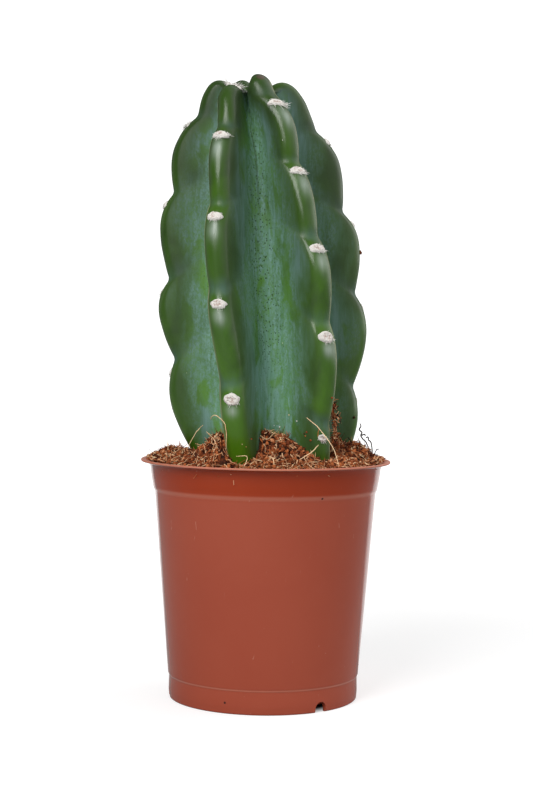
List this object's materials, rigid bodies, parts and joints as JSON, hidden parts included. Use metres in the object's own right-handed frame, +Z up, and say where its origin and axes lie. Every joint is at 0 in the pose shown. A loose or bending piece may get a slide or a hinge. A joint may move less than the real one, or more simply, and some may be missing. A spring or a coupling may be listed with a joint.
{
  "type": "potted columnar cactus",
  "caption": "Upright columnar cactus with deep lobed ribs and woolly areoles, growing from coarse potting mix in a round tapered plastic nursery pot.",
  "frame": {"origin": "middle of the pot's foot, on the surface that it stands on", "axes": "+Z up along the stem, -Y the front, with two ribs towards it, and +X to the right"},
  "size_m": [0.12, 0.12, 0.2978],
  "materials": {
    "pot_plastic": "satin terracotta-coloured polypropylene",
    "potting_mix": "coarse red-brown coir and peat, dry and matt",
    "plant_skin": "waxy green skin with a blue-grey bloom, white felted areoles"
  },
  "bodies": {
    "root": {"pot": "pot_plastic", "soil": "potting_mix", "stem": "plant_skin"}
  },
  "joints": []
}
